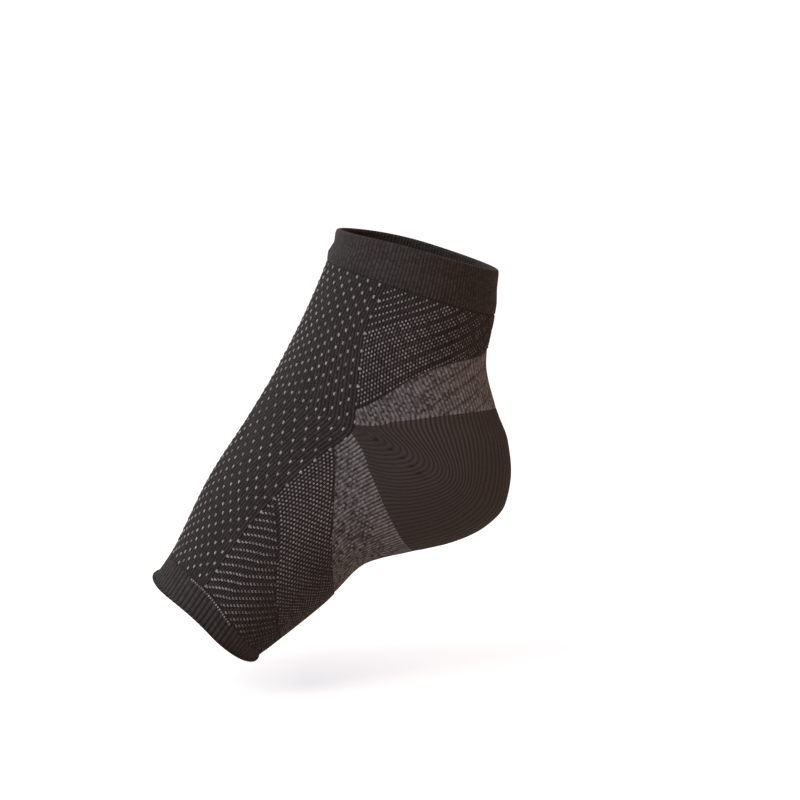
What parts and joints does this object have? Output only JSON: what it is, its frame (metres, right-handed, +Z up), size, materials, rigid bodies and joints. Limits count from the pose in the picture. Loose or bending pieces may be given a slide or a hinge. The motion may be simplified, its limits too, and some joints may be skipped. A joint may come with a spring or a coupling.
{
  "type": "ankle compression sleeve",
  "caption": "Open-toe knitted compression sleeve in its worn form: ribbed cuffs at ankle and toes, dotted instep, grey heel bands, plain heel pocket, dotted arch and ribbed forefoot.",
  "frame": {"origin": "middle of the ankle joint, in the sleeve's plane of symmetry, where the sleeve sits when it is worn", "axes": "+Z up as worn with the heel raised, +X from the toes towards the heel, +Y across the ankle"},
  "size_m": [0.1556, 0.0828, 0.187],
  "materials": {
    "cuff_knit": "black ribbed knit, matte",
    "instep_knit": "black knit with small light grey dots, matte",
    "dotted_knit": "black knit with close grey dots and dotted ribs, matte",
    "grey_knit": "mottled dark grey knit, matte",
    "plain_knit": "plain black knit with fine lines, matte"
  },
  "bodies": {
    "root": {"ankle_cuff": "cuff_knit", "instep_panel": "instep_knit", "achilles_panel": "dotted_knit", "upper_heel_band": "grey_knit", "heel_pocket": "plain_knit", "lower_heel_band": "grey_knit", "arch_panel": "dotted_knit", "forefoot_rib_panel": "dotted_knit", "toe_cuff": "cuff_knit"}
  },
  "joints": []
}
